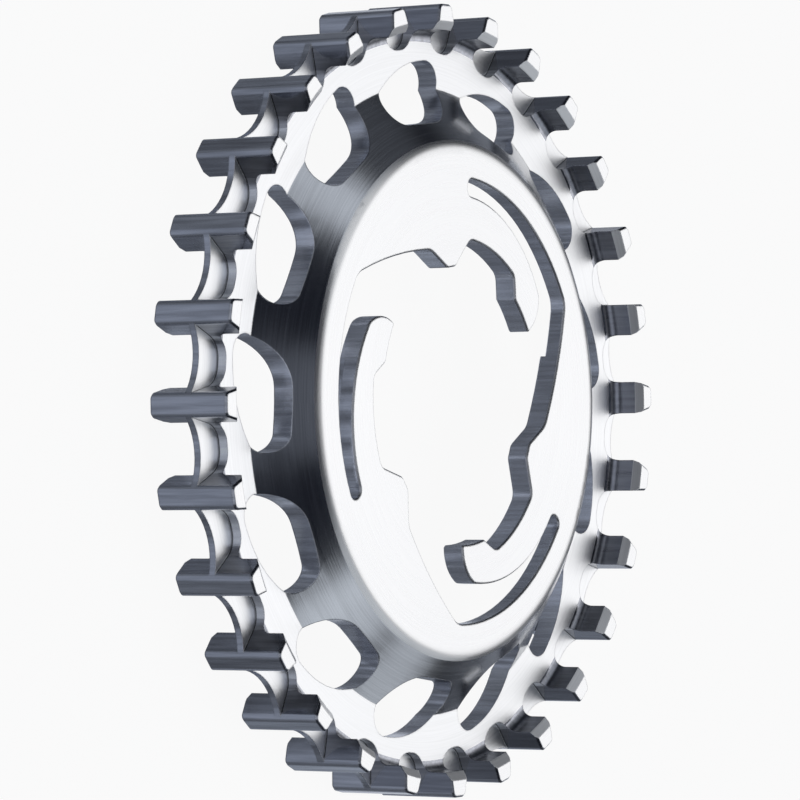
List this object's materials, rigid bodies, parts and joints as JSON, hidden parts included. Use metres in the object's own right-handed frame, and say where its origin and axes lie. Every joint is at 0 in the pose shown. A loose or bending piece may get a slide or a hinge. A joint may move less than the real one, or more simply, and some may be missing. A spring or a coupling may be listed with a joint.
{
  "type": "belt drive sprocket",
  "caption": "Toothed steel ring with a scalloped centre fin, pocketed cone web and raised hub plate whose sprung arms grip a splined hub; it drives a toothed belt.",
  "frame": {"origin": "on the sprocket axis, in the plane of the rear tooth ends", "axes": "+Z along the sprocket axis towards the hub plate's front face, +X through the middle of one tooth"},
  "size_m": [0.0966, 0.0966, 0.0122],
  "materials": {
    "steel": "bright machined, turned marks on the cone"
  },
  "bodies": {
    "root": {"belt_sprocket": "steel"}
  },
  "joints": []
}
